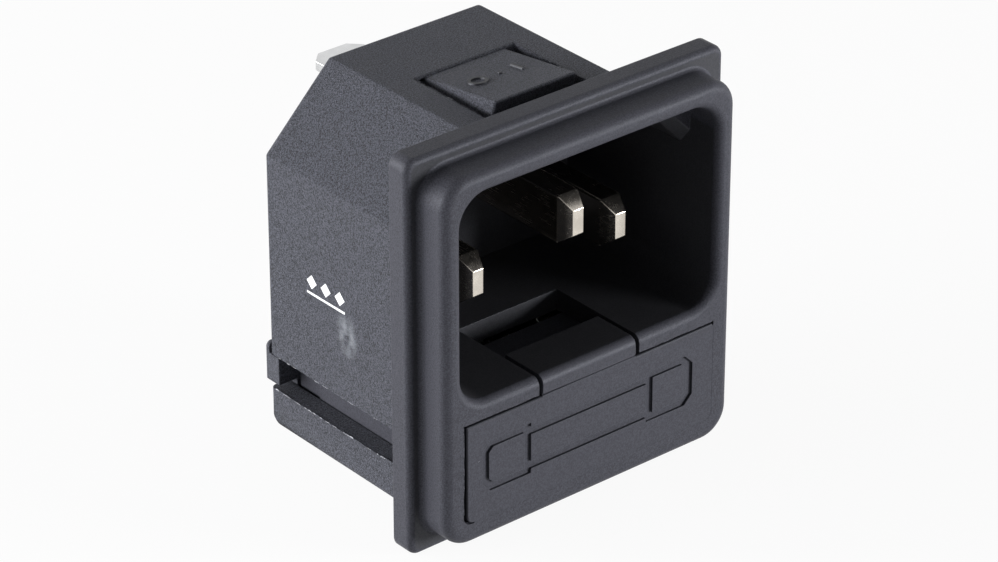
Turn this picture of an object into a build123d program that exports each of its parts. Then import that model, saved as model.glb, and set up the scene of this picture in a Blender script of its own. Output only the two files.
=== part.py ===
"""Panel-mounted appliance inlet with a fuse drawer below its socket.

X runs to the right seen from the front, Y to the back and Z up, in millimetres.
The origin is the centre of the flange's rear face, where it meets the panel.
"""
import os
from math import sqrt

from build123d import *

os.makedirs("parts", exist_ok=True)

# Flange and the bezel that stands proud of it, round the socket and the drawer's window
flange_thickness = 2.0
flange_corner = 1.0
flange_edge = 0.5
bezel_inset = 1.18
bezel_proud = 2.85
bezel_corner = 2.5
bezel_edge = 0.8
bezel_root = 0.35
rim_side = 1.7
rim_top = 1.73
rim_foot = 1.8

# Socket that the mating connector enters
socket_height = 17.25
socket_corner = 2.5
socket_lip = 0.7
socket_chamfer = 4.9
filler_setback = 3.3
filler_lead_depth = 1.0
filler_lead_rise = 1.3
side_wall = 1.03
top_wall = 1.69
corner_wall = 1.0
base_wall = 1.7

# Body behind the panel
body_wall = 1.68
body_keel_radius = 0.55
body_ridge_radius = 0.4
body_rear_radius = 0.5
slot_drop = 2.65
slot_height = 3.0

# Snap fingers that hold the panel against the flange
latch_width = 8.0
latch_side_gap = 0.85
latch_offset = 0.1
latch_root = 10.0
latch_grip = 1.75
latch_lean = 0.3
latch_foot_gap = 0.12
latch_rise = 1.0
latch_root_step = 0.12
latch_overlap = 0.5

# Fuse drawer and the window and tunnel that it slides in
floor_wall = 1.8
front_bar = 1.4
window_offset = -0.06
face_inset = 0.23
face_foot_cover = 0.97
face_thickness = 2.2
face_side_gap = 0.17
face_top_gap = 0.22
face_foot_gap = 0.03
face_seat_gap = 0.08
face_play = 0.14
face_edge = 0.15
face_corner = 0.7
tongue_offset = -0.2
tongue_width = 9.2
tongue_gap = 0.35
tongue_depth = 4.4
tongue_seam_width = 0.14
tongue_seam_depth = 0.12
notch_length = 9.6
drawer_clearance = 0.1
box_wall = 1.6
arm_thickness = 0.75
arm_end_gap = 0.1
arm_tip_length = 2.7
arm_tip_step = 0.2
arm_tip_relief = 1.2
partition_thickness = 1.0
saddle_width = 1.2
spare_saddle_setback = 3.5
live_saddle_setback = 0.7
saddle_mouth = 4.4
saddle_skin = 0.2
cradle_floor = 0.9
cradle_end_gap = 0.5
cradle_lip = 0.9
cradle_lip_rise = 0.6

# Fuse sign sunk in the drawer's face, drawn with a shallow groove
sign_length = 20.9
sign_height = 4.35
sign_cap_length = 4.7
sign_bar_height = 3.6
sign_corner = 0.8
sign_groove = 0.62
sign_rise = 0.15
sign_depth = 0.22

# Cartridge fuses
fuse_length = 20.0
fuse_cap_radius = 2.6
fuse_cap_length = 5.5
fuse_cap_skin = 0.25
fuse_glass_radius = 2.3
fuse_glass_wall = 0.45
fuse_glass_end_gap = 0.1
fuse_wire_radius = 0.12
fuse_fit = 0.03
fuse_seat = 0.1
fuse_roof_gap = 0.025
spare_fuse_gap = 0.4
live_fuse_gap = 1.45

# Contact pins
pin_pitch = 14.0
earth_offset = 4.0
pin_row_drop = 1.9
pin_width = 2.0
pin_height = 4.0
pin_tip_width = 1.0
pin_tip_height = 2.1
pin_taper = 1.3
pin_edge = 0.2
pin_setback = 4.85
earth_setback = 1.69
pin_fit = 0.05

# Sheet-metal strips, quick-connect tabs and fuse clips behind the socket
strip_thickness = 0.8
strip_seat = 0.05
strip_margin = 2.2
strip_bend = 0.5
link_width = 4.0
tab_width = 4.8
tab_reach = 8.44
tab_offset = 2.9
tab_chamfer = 1.0
tab_hole_radius = 0.7
tab_hole_setback = 3.0
clip_thickness = 0.4
clip_inset = 0.25
clip_end_gap = 0.5
clip_clearance = 0.12
clip_side_room = 0.155
clip_rear_room = 2.95
clip_flare = 0.35
clip_flare_length = 0.9
clip_lead = 0.1
clip_bend = 0.6
rivet_radius = 0.8
rivet_head_radius = 1.4
rivet_head_height = 0.4
rivet_fit = 0.03

# Rear cover
cover_thickness = 1.6
cover_proud = 0.45
cover_clearance = 0.1
ear_height = 2.4
ear_overlap = 0.8
ear_corner = 0.45
collar_width = 0.8
collar_height = 0.7
collar_corner = 0.4
tab_slot_gap = 0.15
pad_side = 3.0
pad_height = 0.7
pad_gap = 0.1

# Widths: the fuse's length sets the drawer, the tunnel, the body and the socket above it
box_width = fuse_length + 2 * fuse_seat
drawer_width = box_width + 2 * box_wall
tunnel_width = drawer_width + 2 * drawer_clearance
body_width = tunnel_width + 2 * body_wall
socket_width = body_width - 2 * side_wall
bezel_width = socket_width + 2 * rim_side
flange_width = bezel_width + 2 * bezel_inset
face_width = socket_width - 2 * face_inset
window_width = face_width + 2 * face_side_gap
notch_width = tongue_width + 2 * tongue_gap
face_x = window_offset + face_play
cradle_width = fuse_length - 2 * fuse_cap_length - 2 * cradle_end_gap
clip_width = fuse_cap_length - 2 * clip_end_gap
clip_x = (fuse_length - fuse_cap_length) / 2 - clip_inset

# Heights: the fuse in its clips sets the tunnel, and the socket stands on the tunnel's roof
tunnel_height = 2 * (fuse_cap_radius + clip_clearance + clip_thickness + clip_flare + clip_side_room)
drawer_roof = tunnel_height / 2 - drawer_clearance - fuse_cap_radius - fuse_roof_gap
face_height = floor_wall - front_bar - face_top_gap + tunnel_height + face_foot_cover
window_height = face_top_gap + face_height + face_foot_gap
bezel_height = rim_top + socket_height + front_bar + window_height + rim_foot
flange_height = bezel_height + 2 * bezel_inset
socket_top = bezel_height / 2 - rim_top
socket_bottom = socket_top - socket_height
socket_mid = (socket_top + socket_bottom) / 2
window_top = socket_bottom - front_bar
window_bottom = window_top - window_height
face_top = window_top - face_top_gap
face_mid = face_top - face_height / 2
tunnel_top = socket_bottom - floor_wall
tunnel_bottom = tunnel_top - tunnel_height
tunnel_mid = tunnel_top - tunnel_height / 2
drawer_top = tunnel_top - drawer_clearance
drawer_bottom = tunnel_bottom + drawer_clearance
slot_top = tunnel_top - slot_drop
body_top = socket_top + top_wall
body_bottom = tunnel_bottom - body_wall
body_chamfer = socket_chamfer + side_wall + top_wall - corner_wall * sqrt(2)
pin_z = socket_mid - pin_row_drop
earth_z = pin_z + earth_offset

# Depths: the two fuses one behind the other set the base wall, and the cover closes the rear
front_y = -(flange_thickness + bezel_proud)
face_rear = front_y + face_thickness
spare_fuse_y = face_rear + spare_fuse_gap + fuse_cap_radius
partition_front = spare_fuse_y + fuse_cap_radius + fuse_seat + saddle_skin
partition_rear = partition_front + partition_thickness
live_fuse_y = partition_rear + live_fuse_gap + fuse_cap_radius
clip_mouth = live_fuse_y - fuse_cap_radius - clip_lead
strip_front = live_fuse_y + fuse_cap_radius + clip_rear_room + clip_thickness
strip_rear = strip_front + strip_thickness
base_rear = strip_front - strip_seat
base_front = base_rear - base_wall
cover_front = strip_rear + rivet_head_height + pad_gap + pad_height
cover_rear = cover_front + cover_thickness
body_depth = cover_rear - cover_proud
tab_end = cover_rear + tab_reach
drawer_reach = cover_front - arm_end_gap


def upright(depth):
    """The upright plane at a depth behind the panel face, looking out of the front."""
    return Plane.XZ.offset(-depth)


def chamfered_outline(half, top, bottom, corner):
    """A rectangle with its two upper corners cut at 45 degrees."""
    Polygon(
        (-half, bottom),
        (half, bottom),
        (half, top - corner),
        (half - corner, top),
        (corner - half, top),
        (-half, top - corner),
        align=None,
    )


def body_outline(inset):
    """The body's outline seen from the front, drawn in by an even inset."""
    corner = body_chamfer - (2 - sqrt(2)) * inset
    chamfered_outline(body_width / 2 - inset, body_top - inset, body_bottom + inset, corner)


def socket_outline(corner):
    """The socket's outline, with the corners that key the connector."""
    chamfered_outline(socket_width / 2, socket_top, socket_bottom, corner)


def slab(width, low, high, middle=0.0):
    """A rectangle between two heights, on the sketch plane at hand."""
    with Locations((middle, (low + high) / 2)):
        Rectangle(width, high - low)


# Housing: flange, bezel, socket, tunnel, body and snap fingers in one moulding
with BuildPart() as housing:
    with BuildSketch(upright(body_depth)):
        body_outline(0)
    extrude(amount=body_depth)
    long_edges = housing.edges().filter_by(Axis.Y)
    keel_edges = long_edges.group_by(Axis.Z)[0]
    ridge_edges = long_edges.group_by(Axis.Z)[1] + long_edges.group_by(Axis.Z)[2]
    fillet(keel_edges, body_keel_radius)
    fillet(ridge_edges, body_ridge_radius)
    fillet(housing.faces().sort_by(Axis.Y)[-1].edges(), body_rear_radius)

    with BuildSketch(upright(0)):
        RectangleRounded(flange_width, flange_height, flange_corner)
    extrude(amount=flange_thickness)
    fillet(housing.faces().sort_by(Axis.Y)[0].edges(), flange_edge)
    with BuildSketch(upright(-flange_thickness)):
        RectangleRounded(bezel_width, bezel_height, bezel_corner)
    extrude(amount=bezel_proud)
    fillet(housing.faces().sort_by(Axis.Y)[0].edges(), bezel_edge)
    flange_front = housing.faces().filter_by(Axis.Y).group_by(Axis.Y)[1][0]
    fillet(flange_front.inner_wires()[0].edges(), bezel_root)

    # Socket: a plain mouth, then the keyed cavity with sloping fillers in its upper corners
    with BuildSketch(upright(front_y + filler_setback)):
        with Locations((0, socket_mid)):
            RectangleRounded(socket_width, socket_height, socket_corner)
    extrude(amount=filler_setback, mode=Mode.SUBTRACT)
    mouth_edges = housing.faces().sort_by(Axis.Y)[0].inner_wires()[0].edges()
    fillet(mouth_edges, socket_lip)
    with BuildSketch(upright(base_front)):
        socket_outline(socket_chamfer)
        fillet(vertices().group_by(Axis.Y)[0], socket_corner)
    extrude(amount=base_front - front_y - filler_setback, mode=Mode.SUBTRACT)
    with BuildSketch(upright(front_y + filler_setback + filler_lead_depth)):
        socket_outline(socket_chamfer)
        fillet(vertices().group_by(Axis.Y)[0], socket_corner)
    with BuildSketch(upright(front_y + filler_setback)):
        socket_outline(socket_chamfer - filler_lead_rise)
        fillet(vertices().group_by(Axis.Y)[0], socket_corner)
    loft(mode=Mode.SUBTRACT)

    # Fuse drawer's window, tunnel and the notch behind its tongue
    with BuildSketch(upright(face_rear + face_seat_gap)):
        slab(window_width, window_bottom, window_top, window_offset)
        fillet(vertices().group_by(Axis.Y)[0], face_corner + face_foot_gap)
    extrude(amount=face_thickness + face_seat_gap, mode=Mode.SUBTRACT)
    with BuildSketch(upright(body_depth)):
        slab(tunnel_width, tunnel_bottom, tunnel_top)
    extrude(amount=body_depth - front_y, mode=Mode.SUBTRACT)
    with BuildSketch(upright(front_y + notch_length)):
        slab(notch_width, tunnel_mid, socket_mid, tongue_offset)
    extrude(amount=notch_length, mode=Mode.SUBTRACT)

    # Rear pocket, pin slots and the side slots that run out of the rear
    with BuildSketch(upright(body_depth)):
        body_outline(body_wall)
    extrude(amount=body_depth - base_rear, mode=Mode.SUBTRACT)
    with BuildSketch(upright(base_rear)):
        with Locations((-pin_pitch / 2, pin_z), (pin_pitch / 2, pin_z), (0, earth_z)):
            Rectangle(pin_width + 2 * pin_fit, pin_height + 2 * pin_fit)
    extrude(amount=base_wall, mode=Mode.SUBTRACT)
    with BuildSketch(upright(body_depth)):
        slab(body_width, slot_top - slot_height, slot_top)
    extrude(amount=body_depth, mode=Mode.SUBTRACT)

    # Snap fingers in the top and bottom walls, cut free at the sides and the front
    for outer, inner, up in ((body_top, socket_top, 1), (body_bottom, tunnel_bottom, -1)):
        with BuildSketch(Plane.XY.offset((outer + inner) / 2)):
            latch_mid = (latch_root + latch_grip + latch_lean - latch_foot_gap) / 2
            with Locations((latch_offset, latch_mid)):
                Rectangle(
                    latch_width + 2 * latch_side_gap,
                    latch_root - latch_grip - latch_lean + latch_foot_gap,
                )
        extrude(amount=abs(outer - inner) / 2, both=True, mode=Mode.SUBTRACT)
        with BuildSketch(Plane.YZ.offset(latch_offset)):
            with BuildLine():
                Polyline(
                    (latch_root + latch_overlap, inner),
                    (latch_grip + latch_lean, inner),
                    (latch_grip + latch_lean, outer - up * latch_root_step),
                    (latch_grip, outer + up * latch_rise),
                    (latch_root, outer - up * latch_root_step),
                    (latch_root + latch_overlap, outer - up * latch_root_step),
                    close=True,
                )
            make_face()
        extrude(amount=latch_width / 2, both=True)
housing.part.label = "housing"
export_step(housing.part, "parts/housing.step")


# Fuse drawer: face, tongue, spare-fuse box, guide arms and the live fuse's cradle
def sign_cap(way, inset):
    """One end cap of the fuse sign, drawn in by an inset, with its outer corners cut."""
    middle = way * (sign_length - sign_cap_length) / 2
    half_length = sign_cap_length / 2 - inset
    half_height = sign_height / 2 - inset
    corner = sign_corner - (2 - sqrt(2)) * inset
    outer = middle + way * half_length
    inner = middle - way * half_length
    return Polygon(
        (inner, -half_height),
        (outer - way * corner, -half_height),
        (outer, corner - half_height),
        (outer, half_height - corner),
        (outer - way * corner, half_height),
        (inner, half_height),
        align=None,
        mode=Mode.PRIVATE,
    )


def fuse_sign():
    """The outline of a cartridge fuse, as a groove round three flat windows."""
    bar_length = sign_length - 2 * sign_cap_length
    with BuildSketch(Plane.XY, mode=Mode.PRIVATE) as sign:
        add([sign_cap(-1, 0), sign_cap(1, 0)])
        Rectangle(bar_length + 2 * sign_groove, sign_bar_height)
        add([sign_cap(-1, sign_groove), sign_cap(1, sign_groove)], mode=Mode.SUBTRACT)
        Rectangle(bar_length, sign_bar_height - 2 * sign_groove, mode=Mode.SUBTRACT)
    return sign.sketch


with BuildPart() as fuse_drawer:
    # Face plate and tongue
    with BuildSketch(upright(face_rear)):
        slab(face_width, face_top - face_height, face_top, face_x)
        fillet(vertices().group_by(Axis.Y)[0], face_corner)
    extrude(amount=face_thickness)
    fillet(fuse_drawer.faces().sort_by(Axis.Y)[0].edges(), face_edge)
    with BuildSketch(upright(front_y + tongue_depth)):
        slab(tongue_width, drawer_top - drawer_roof, socket_bottom, tongue_offset)
    extrude(amount=tongue_depth)
    tongue_edge = fuse_drawer.faces().sort_by(Axis.Z)[-1].edges().sort_by(Axis.Y)[0]
    fillet(tongue_edge, socket_lip)
    with BuildSketch(upright(front_y + tongue_seam_depth)):
        with Locations((tongue_offset, face_top + face_top_gap / 2)):
            Rectangle(tongue_width, tongue_seam_width)
    extrude(amount=tongue_seam_depth, mode=Mode.SUBTRACT)

    # Spare-fuse box, open below
    with BuildSketch(upright(partition_rear)):
        slab(drawer_width, drawer_bottom, drawer_top)
    extrude(amount=partition_rear - face_rear)
    with BuildSketch(upright(partition_front)):
        slab(box_width, drawer_bottom, drawer_top - drawer_roof)
    extrude(amount=partition_front - face_rear, mode=Mode.SUBTRACT)
    for side in (-1, 1):
        with BuildSketch(Plane.YZ.offset(side * (fuse_length / 2 - spare_saddle_setback))):
            with Locations((spare_fuse_y, (drawer_top - drawer_roof + drawer_bottom) / 2)):
                Rectangle(partition_front - face_rear, drawer_top - drawer_roof - drawer_bottom)
            with Locations((spare_fuse_y, tunnel_mid)):
                Circle(fuse_cap_radius + fuse_seat, mode=Mode.SUBTRACT)
            with Locations((spare_fuse_y, (tunnel_mid + drawer_bottom) / 2)):
                Rectangle(saddle_mouth, tunnel_mid - drawer_bottom, mode=Mode.SUBTRACT)
        extrude(amount=saddle_width / 2, both=True)

    # Guide arms with a narrower tip, seen through the housing's side slots
    for side in (-1, 1):
        arm_x = side * (drawer_width - arm_thickness) / 2
        with BuildSketch(upright(drawer_reach - arm_tip_length)):
            slab(arm_thickness, drawer_bottom, drawer_top, arm_x)
        extrude(amount=drawer_reach - arm_tip_length - partition_rear)
        tip_x = side * (drawer_width - arm_thickness - arm_tip_step) / 2
        with BuildSketch(upright(drawer_reach)):
            slab(arm_thickness - arm_tip_step, drawer_bottom + arm_tip_relief, drawer_top, tip_x)
        extrude(amount=arm_tip_length)

    # Cradle under the live fuse's glass
    cradle_end = live_fuse_y + fuse_glass_radius + fuse_seat + cradle_lip
    with BuildSketch(Plane.YZ):
        with Locations(((partition_rear + cradle_end) / 2, drawer_bottom + cradle_floor / 2)):
            Rectangle(cradle_end - partition_rear, cradle_floor)
    extrude(amount=cradle_width / 2, both=True)
    for side in (-1, 1):
        with BuildSketch(Plane.YZ.offset(side * (cradle_width / 2 - live_saddle_setback))):
            with BuildLine():
                Polyline(
                    (partition_rear, drawer_bottom),
                    (cradle_end, drawer_bottom),
                    (cradle_end, tunnel_mid + cradle_lip_rise),
                    (partition_rear, tunnel_mid + cradle_lip_rise),
                    close=True,
                )
            make_face()
            with Locations((live_fuse_y, tunnel_mid)):
                Circle(fuse_glass_radius + fuse_seat, mode=Mode.SUBTRACT)
            with Locations((live_fuse_y, tunnel_mid + cradle_lip_rise)):
                Rectangle(2 * fuse_glass_radius, 2 * cradle_lip_rise, mode=Mode.SUBTRACT)
        extrude(amount=saddle_width / 2, both=True)

    # Fuse sign in the face
    with BuildSketch(upright(front_y + sign_depth)):
        with Locations((tongue_offset, face_mid + sign_rise)):
            add(fuse_sign())
    extrude(amount=sign_depth, mode=Mode.SUBTRACT)
fuse_drawer.part.label = "fuse_drawer"
export_step(fuse_drawer.part, "parts/fuse_drawer.step")


def contact_pin(label, x, z, setback):
    """A flat pin with a tapered tip, a blade through the base wall and a riveted tail."""
    tip = front_y + setback
    with BuildPart() as pin:
        with BuildSketch(upright(tip)):
            with Locations((x, z)):
                Rectangle(pin_tip_width, pin_tip_height)
        with BuildSketch(upright(tip + pin_taper)):
            with Locations((x, z)):
                Rectangle(pin_width, pin_height)
        loft()
        with BuildSketch(upright(strip_front)):
            with Locations((x, z)):
                Rectangle(pin_width, pin_height)
        extrude(amount=strip_front - tip - pin_taper)
        fillet(pin.edges().filter_by(Axis.Y), pin_edge)
        with BuildSketch(upright(strip_rear)):
            with Locations((x, z)):
                Circle(rivet_radius)
        extrude(amount=strip_thickness)
        with BuildSketch(upright(strip_rear + rivet_head_height)):
            with Locations((x, z)):
                Circle(rivet_head_radius)
        extrude(amount=rivet_head_height)
    pin.part.label = label
    export_step(pin.part, f"parts/{label}.step")


contact_pin("line_pin", -pin_pitch / 2, pin_z, pin_setback)
contact_pin("neutral_pin", pin_pitch / 2, pin_z, pin_setback)
contact_pin("earth_pin", 0, earth_z, earth_setback)


def quick_connect_tab(label, x, z, up):
    """A strip riveted behind the base wall and bent back into a flat tab."""
    mid = (strip_front + strip_rear) / 2
    with BuildPart() as tab:
        with BuildSketch(Plane.YZ.offset(x)):
            with BuildLine() as bent:
                FilletPolyline(
                    (mid, z - up * strip_margin),
                    (mid, z + up * tab_offset),
                    (tab_end, z + up * tab_offset),
                    radius=strip_bend + strip_thickness / 2,
                )
            trace(line_width=strip_thickness)
        extrude(amount=tab_width / 2, both=True)
        chamfer(tab.edges().filter_by(Axis.Z).group_by(Axis.Y)[-1], tab_chamfer)
        with BuildSketch(upright(strip_rear)):
            with Locations((x, z)):
                Circle(rivet_radius + rivet_fit)
        extrude(amount=strip_thickness, mode=Mode.SUBTRACT)
        with BuildSketch(Plane.XY.offset(z + up * tab_offset)):
            with Locations((x, tab_end - tab_hole_setback)):
                Circle(tab_hole_radius)
        extrude(amount=strip_thickness, both=True, mode=Mode.SUBTRACT)
    tab.part.label = label
    export_step(tab.part, f"parts/{label}.step")


quick_connect_tab("earth_terminal", 0, earth_z, 1)
quick_connect_tab("neutral_terminal", pin_pitch / 2, pin_z, -1)
quick_connect_tab("line_terminal", clip_x, tunnel_mid, 1)

# Link strip from the line pin down to the left fuse clip
with BuildPart() as line_link:
    with BuildSketch(upright(strip_rear)):
        with BuildLine():
            Polyline(
                (-pin_pitch / 2, pin_z + strip_margin),
                (-pin_pitch / 2, pin_z - strip_margin),
                (-clip_x, tunnel_mid + strip_margin),
                (-clip_x, tunnel_mid - strip_margin),
            )
        trace(line_width=link_width)
        with Locations((-pin_pitch / 2, pin_z), (-clip_x, tunnel_mid)):
            Circle(rivet_radius + rivet_fit, mode=Mode.SUBTRACT)
    extrude(amount=strip_thickness)
line_link.part.label = "line_link"
export_step(line_link.part, "parts/line_link.step")


def fuse_clip(label, x):
    """A spring clip with a flared mouth that grips one cap of the live fuse."""
    arm = fuse_cap_radius + clip_clearance + clip_thickness / 2
    back = strip_front - clip_thickness / 2
    bend_start = clip_mouth + clip_flare_length
    with BuildPart() as clip:
        with BuildSketch(Plane.YZ.offset(x)):
            with BuildLine():
                FilletPolyline(
                    (clip_mouth, tunnel_mid + arm + clip_flare),
                    (bend_start, tunnel_mid + arm),
                    (back, tunnel_mid + arm),
                    (back, tunnel_mid - arm),
                    (bend_start, tunnel_mid - arm),
                    (clip_mouth, tunnel_mid - arm - clip_flare),
                    radius=clip_bend,
                )
            trace(line_width=clip_thickness)
        extrude(amount=clip_width / 2, both=True)
        with BuildSketch(upright(strip_front)):
            with Locations((x, tunnel_mid)):
                Circle(rivet_radius + rivet_fit)
        extrude(amount=clip_thickness, mode=Mode.SUBTRACT)
    clip.part.label = label
    export_step(clip.part, f"parts/{label}.step")


def clip_rivet(label, x):
    """A rivet that joins a fuse clip to the strip behind it."""
    grip_front = strip_front - clip_thickness
    with BuildPart() as rivet:
        with BuildSketch(upright(strip_rear)):
            with Locations((x, tunnel_mid)):
                Circle(rivet_radius)
        extrude(amount=strip_rear - grip_front)
        with BuildSketch(upright(strip_rear + rivet_head_height), upright(grip_front)):
            with Locations((x, tunnel_mid)):
                Circle(rivet_head_radius)
        extrude(amount=rivet_head_height)
    rivet.part.label = label
    export_step(rivet.part, f"parts/{label}.step")


for side, x in (("left", -clip_x), ("right", clip_x)):
    fuse_clip(f"{side}_fuse_clip", x)
    clip_rivet(f"{side}_clip_rivet", x)


def cartridge_fuse(name, y):
    """A glass fuse across the drawer: tube, wire and two caps."""
    axis = Plane.YZ
    glass_half = fuse_length / 2 - fuse_cap_skin - fuse_glass_end_gap
    wire_half = fuse_length / 2 - fuse_cap_skin
    with BuildPart() as glass:
        with BuildSketch(axis):
            with Locations((y, tunnel_mid)):
                Circle(fuse_glass_radius)
                Circle(fuse_glass_radius - fuse_glass_wall, mode=Mode.SUBTRACT)
        extrude(amount=glass_half, both=True)
    glass.part.label = f"{name}_fuse_glass"
    export_step(glass.part, f"parts/{name}_fuse_glass.step")
    with BuildPart() as wire:
        with BuildSketch(axis):
            with Locations((y, tunnel_mid)):
                Circle(fuse_wire_radius)
        extrude(amount=wire_half, both=True)
    wire.part.label = f"{name}_fuse_wire"
    export_step(wire.part, f"parts/{name}_fuse_wire.step")
    for side, way in (("left", -1), ("right", 1)):
        end = way * fuse_length / 2
        with BuildPart() as cap:
            with BuildSketch(axis.offset(end)):
                with Locations((y, tunnel_mid)):
                    Circle(fuse_cap_radius)
            extrude(amount=-way * fuse_cap_length)
            chamfer(cap.faces().sort_by(Axis.X)[0 if way < 0 else -1].edges(), fuse_cap_skin)
            with BuildSketch(axis.offset(end - way * fuse_cap_skin)):
                with Locations((y, tunnel_mid)):
                    Circle(fuse_glass_radius + fuse_fit)
            extrude(amount=-way * (fuse_cap_length - fuse_cap_skin), mode=Mode.SUBTRACT)
        cap.part.label = f"{name}_fuse_{side}_cap"
        export_step(cap.part, f"parts/{name}_fuse_{side}_cap.step")


cartridge_fuse("live", live_fuse_y)
cartridge_fuse("spare", spare_fuse_y)

# Rear cover: plate in the housing's rear, ears in the side slots, collars round the tabs
tab_places = (
    (0, earth_z + tab_offset),
    (pin_pitch / 2, pin_z - tab_offset),
    (clip_x, tunnel_mid + tab_offset),
)
with BuildPart() as rear_cover:
    with BuildSketch(upright(cover_rear)):
        body_outline(body_wall + cover_clearance)
    extrude(amount=cover_thickness)
    ear_low = slot_top - cover_clearance - ear_height
    with BuildSketch(upright(cover_rear)):
        slab(body_width, ear_low, slot_top - cover_clearance)
    extrude(amount=cover_thickness)
    with BuildSketch(upright(cover_rear)):
        slab(body_width, ear_low, slot_top + ear_overlap)
        fillet(vertices().group_by(Axis.Y)[-1], ear_corner)
    extrude(amount=cover_proud - cover_clearance / 2)
    with BuildSketch(upright(cover_rear + collar_height)):
        with Locations(*tab_places):
            Rectangle(
                tab_width + 2 * (tab_slot_gap + collar_width),
                strip_thickness + 2 * (tab_slot_gap + collar_width),
            )
        chamfer(vertices(), collar_corner)
    extrude(amount=collar_height)
    with BuildSketch(upright(cover_rear + collar_height)):
        with Locations(*tab_places):
            Rectangle(tab_width + 2 * tab_slot_gap, strip_thickness + 2 * tab_slot_gap)
    extrude(amount=cover_thickness + collar_height, mode=Mode.SUBTRACT)
    with BuildSketch(upright(cover_front)):
        with Locations((-pin_pitch / 2, pin_z), (pin_pitch / 2, pin_z), (0, earth_z)):
            Rectangle(pad_side, pad_side)
    extrude(amount=pad_height)
rear_cover.part.label = "rear_cover"
export_step(rear_cover.part, "parts/rear_cover.step")
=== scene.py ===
"""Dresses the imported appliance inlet: moulded edges, finishes, small marks, light and camera.

Everything is in metres in the part's own frame: X to the right seen from the front,
Y to the back and Z up, with the origin at the centre of the flange's rear face.
"""
import math
import random

import bmesh
import bpy
from mathutils import Matrix, Vector


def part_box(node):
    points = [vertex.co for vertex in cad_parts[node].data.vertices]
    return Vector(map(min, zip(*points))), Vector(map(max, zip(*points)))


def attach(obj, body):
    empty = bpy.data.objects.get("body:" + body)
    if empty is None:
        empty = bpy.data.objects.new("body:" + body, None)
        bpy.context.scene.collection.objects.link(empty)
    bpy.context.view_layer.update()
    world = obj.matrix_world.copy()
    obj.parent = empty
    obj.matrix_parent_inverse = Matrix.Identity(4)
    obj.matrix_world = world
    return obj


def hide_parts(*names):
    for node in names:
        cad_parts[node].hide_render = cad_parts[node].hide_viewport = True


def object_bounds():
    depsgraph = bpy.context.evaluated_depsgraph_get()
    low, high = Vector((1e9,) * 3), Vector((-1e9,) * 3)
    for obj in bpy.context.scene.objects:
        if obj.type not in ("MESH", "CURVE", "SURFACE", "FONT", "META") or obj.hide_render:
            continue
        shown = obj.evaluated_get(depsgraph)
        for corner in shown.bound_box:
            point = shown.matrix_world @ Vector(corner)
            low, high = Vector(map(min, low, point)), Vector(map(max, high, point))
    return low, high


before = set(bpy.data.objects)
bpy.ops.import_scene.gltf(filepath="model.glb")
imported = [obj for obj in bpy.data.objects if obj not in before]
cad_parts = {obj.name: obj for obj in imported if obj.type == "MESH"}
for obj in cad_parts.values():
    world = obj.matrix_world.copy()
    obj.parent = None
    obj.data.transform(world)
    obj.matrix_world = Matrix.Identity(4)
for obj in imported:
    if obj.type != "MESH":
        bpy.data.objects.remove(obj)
cad_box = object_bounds()

MM = 0.001
UP = Vector((0, 0, 1))
RIGHT = Vector((1, 0, 0))
BACK = Vector((0, 1, 0))
SQUARE = ((-1, -1), (1, -1), (1, 1), (-1, 1))

# Housing: front, socket, tunnel and body. Inside the cut corners x and z add up to less than
# BODY_CHAMFER, and REAR_CUT is the cut along the lower rear edge.
FRONT = cad_box[0].y
SOCKET_HALF = 12.45 * MM
SOCKET_TOP = 13.685 * MM
SOCKET_BOTTOM = -3.565 * MM
SOCKET_RIM = 0.85 * MM
TUNNEL_BOTTOM = -12.615 * MM
BODY_TOP = 15.375 * MM
BODY_BOTTOM = -14.295 * MM
BODY_SIDE = 13.48 * MM
BODY_REAR = 17.4 * MM
BODY_CHAMFER = 21.9 * MM
REAR_RIM = 1.0 * MM
REAR_CUT = 1.15 * MM

# Housing: side slots, their rails, the window for the drawer's face and the notch for its tongue
SLOT_TOP = -8.015 * MM
SLOT_BOTTOM = -11.015 * MM
RAIL_FRONT = 0.1 * MM
RAIL_REAR = BODY_REAR - 0.6 * MM
WINDOW_LEFT = -12.45 * MM
WINDOW_RIGHT = 12.33 * MM
WINDOW_TOP = -4.965 * MM
WINDOW_BOTTOM = -13.615 * MM
WINDOW_CORNER = 1.0 * MM
NOTCH_LEFT = -5.15 * MM
NOTCH_RIGHT = 4.75 * MM

# Snap fingers: the middle, half width and ramp of the upper one, the cuts beside it,
# and the height from which on an edge belongs to a finger
FINGER_X = 0.1 * MM
FINGER_HALF = 4.0 * MM
FINGER_CREST = Vector((FINGER_X, 1.75 * MM, BODY_TOP + 1.0 * MM))
FINGER_ROOT = Vector((FINGER_X, 10.0 * MM, BODY_TOP - 0.12 * MM))
FINGER_FOOT = SOCKET_TOP + 0.5 * MM
CUT_X = FINGER_HALF + 0.85 * MM
CUT_FRONT = 2.2 * MM
CUT_REAR = 9.8 * MM

# Drawer's face: outline, how far back its sides go, corner, filled rim, a band along the gap painted dark as
# shade, and sunk sign
FACE_LEFT, FACE_RIGHT = -12.14 * MM, 12.3 * MM
FACE_BOTTOM, FACE_TOP = -13.585 * MM, -5.185 * MM
FACE_REACH = 2.0 * MM
FACE_CORNER = 0.7 * MM
FACE_EDGE = 0.15 * MM
FACE_SPILL = 0.02 * MM
CORNER_STEPS = 8
GAP_SHADE_BAND = 0.12 * MM
SIGN_HALF = 11.3 * MM
SIGN_BOTTOM, SIGN_TOP = -12.2 * MM, -6.2 * MM
SIGN_DEPTH = 0.22 * MM

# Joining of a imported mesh, and which of its edges count as sharp
WELD = 0.0005 * MM
FLAT_ANGLE = math.radians(0.3)
EDGE_ANGLE = math.radians(25)

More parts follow.
